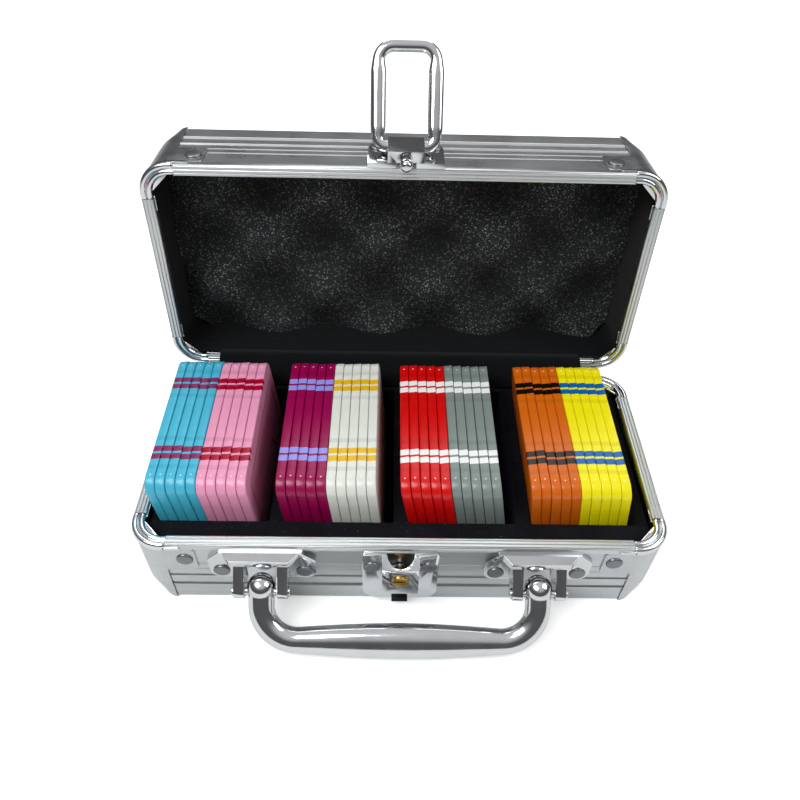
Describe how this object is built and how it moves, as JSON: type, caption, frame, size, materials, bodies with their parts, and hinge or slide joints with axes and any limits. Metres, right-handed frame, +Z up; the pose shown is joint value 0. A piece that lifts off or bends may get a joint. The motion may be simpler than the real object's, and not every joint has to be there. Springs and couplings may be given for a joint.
{
  "type": "plaque case",
  "caption": "Small aluminium-framed carrying case with an open foam-lined lid, a front lock and latch bail, a fold-down handle and rows of leaning playing plaques in a slotted insert.",
  "frame": {"origin": "middle of the base panel's underside, which rests on a table", "axes": "+X along the front wall to the right as seen from the front, +Y from the front wall to the hinge side, +Z up"},
  "size_m": [0.2574, 0.2129, 0.2117],
  "materials": {
    "satin_aluminium": "satin",
    "polished_rim": "polished lengthwise",
    "chrome": "polished",
    "cover_sheet": "satin",
    "rivet_steel": "satin",
    "brass": "polished",
    "panel_skin": "satin",
    "black_flock": "matt",
    "foam": "open cell",
    "lining_cloth": "matt",
    "hinge_steel": "plain",
    "dark_catch": "matt",
    "plaque_sky_blue": "gloss",
    "plaque_pink": "gloss",
    "plaque_berry": "gloss",
    "plaque_white": "gloss",
    "plaque_red": "gloss",
    "plaque_grey": "gloss",
    "plaque_orange": "gloss",
    "plaque_yellow": "gloss"
  },
  "bodies": {
    "case_base": {"base_panel": "panel_skin", "base_front_wall": "satin_aluminium", "base_rear_wall": "satin_aluminium", "base_left_wall": "satin_aluminium", "base_right_wall": "satin_aluminium", "base_front_rim": "polished_rim", "base_rear_rim": "polished_rim", "base_left_rim": "polished_rim", "base_right_rim": "polished_rim", "base_rim_corners": "chrome", "base_front_left_cover": "cover_sheet", "base_front_right_cover": "cover_sheet", "base_rear_left_cover": "cover_sheet", "base_rear_right_cover": "cover_sheet", "base_rivets": "rivet_steel", "base_insert": "black_flock", "hinge_lining_base": "lining_cloth", "base_hinge_leaves": "hinge_steel", "base_hinge_rivets": "hinge_steel", "hinge_pins": "hinge_steel", "left_handle_bracket": "chrome", "right_handle_bracket": "chrome", "handle_pins": "chrome", "lock_plate": "chrome", "lock_catch": "dark_catch"},
    "case_lid": {"lid_panel": "panel_skin", "lid_front_wall": "satin_aluminium", "lid_rear_wall": "satin_aluminium", "lid_left_wall": "satin_aluminium", "lid_right_wall": "satin_aluminium", "lid_front_rim": "polished_rim", "lid_rear_rim": "polished_rim", "lid_left_rim": "polished_rim", "lid_right_rim": "polished_rim", "lid_rim_corners": "chrome", "lid_front_left_cover": "cover_sheet", "lid_front_right_cover": "cover_sheet", "lid_rear_left_cover": "cover_sheet", "lid_rear_right_cover": "cover_sheet", "lid_rivets": "rivet_steel", "lid_lining": "lining_cloth", "lid_foam": "foam", "hinge_lining_lid": "lining_cloth", "lid_hinge_leaves": "hinge_steel", "lid_hinge_rivets": "hinge_steel", "lid_latch_plate": "chrome", "latch_stud": "chrome"},
    "handle": {"handle": "chrome"},
    "bail": {"latch_bail": "chrome"},
    "lock_cylinder": {"lock_cylinder": "brass", "lock_cam": "hinge_steel"},
    "sky_blue_plaques": {"plaques_sky_blue": "plaque_sky_blue"},
    "pink_plaques": {"plaques_pink": "plaque_pink"},
    "berry_plaques": {"plaques_berry": "plaque_berry"},
    "white_plaques": {"plaques_white": "plaque_white"},
    "red_plaques": {"plaques_red": "plaque_red"},
    "grey_plaques": {"plaques_grey": "plaque_grey"},
    "orange_plaques": {"plaques_orange": "plaque_orange"},
    "yellow_plaques": {"plaques_yellow": "plaque_yellow"}
  },
  "joints": [
    {"name": "lid_hinge", "type": "hinge", "parent": "case_base", "child": "case_lid", "pos_m": [0, 0.061, 0.048], "axis": [-1, 0, 0], "range_deg": [-95.5, 0]},
    {"name": "handle_swing", "type": "hinge", "parent": "case_base", "child": "handle", "pos_m": [0, -0.07, 0.0267], "axis": [-1, 0, 0], "range_deg": [0, 108]},
    {"name": "bail_swing", "type": "hinge", "parent": "case_lid", "child": "bail", "pos_m": [0, 0.08497, 0.17177], "axis": [-1, 0, 0], "range_deg": [-119, 0]},
    {"name": "key_turn", "type": "hinge", "parent": "case_base", "child": "lock_cylinder", "pos_m": [0, -0.066, 0.0307], "axis": [0, 1, 0], "range_deg": [0, 90]},
    {"name": "sky_blue_lift", "type": "slide", "parent": "case_base", "child": "sky_blue_plaques", "axis": [-0.0872, 0, 0.9962], "range_m": [0, 0.045]},
    {"name": "pink_lift", "type": "slide", "parent": "case_base", "child": "pink_plaques", "axis": [-0.0872, 0, 0.9962], "range_m": [0, 0.045]},
    {"name": "berry_lift", "type": "slide", "parent": "case_base", "child": "berry_plaques", "axis": [-0.0837, 0, 0.9965], "range_m": [0, 0.045]},
    {"name": "white_lift", "type": "slide", "parent": "case_base", "child": "white_plaques", "axis": [-0.0837, 0, 0.9965], "range_m": [0, 0.045]},
    {"name": "red_lift", "type": "slide", "parent": "case_base", "child": "red_plaques", "axis": [-0.1736, 0, 0.9848], "range_m": [0, 0.045]},
    {"name": "grey_lift", "type": "slide", "parent": "case_base", "child": "grey_plaques", "axis": [-0.1736, 0, 0.9848], "range_m": [0, 0.045]},
    {"name": "orange_lift", "type": "slide", "parent": "case_base", "child": "orange_plaques", "axis": [-0.1392, 0, 0.9903], "range_m": [0, 0.045]},
    {"name": "yellow_lift", "type": "slide", "parent": "case_base", "child": "yellow_plaques", "axis": [-0.1392, 0, 0.9903], "range_m": [0, 0.045]}
  ]
}
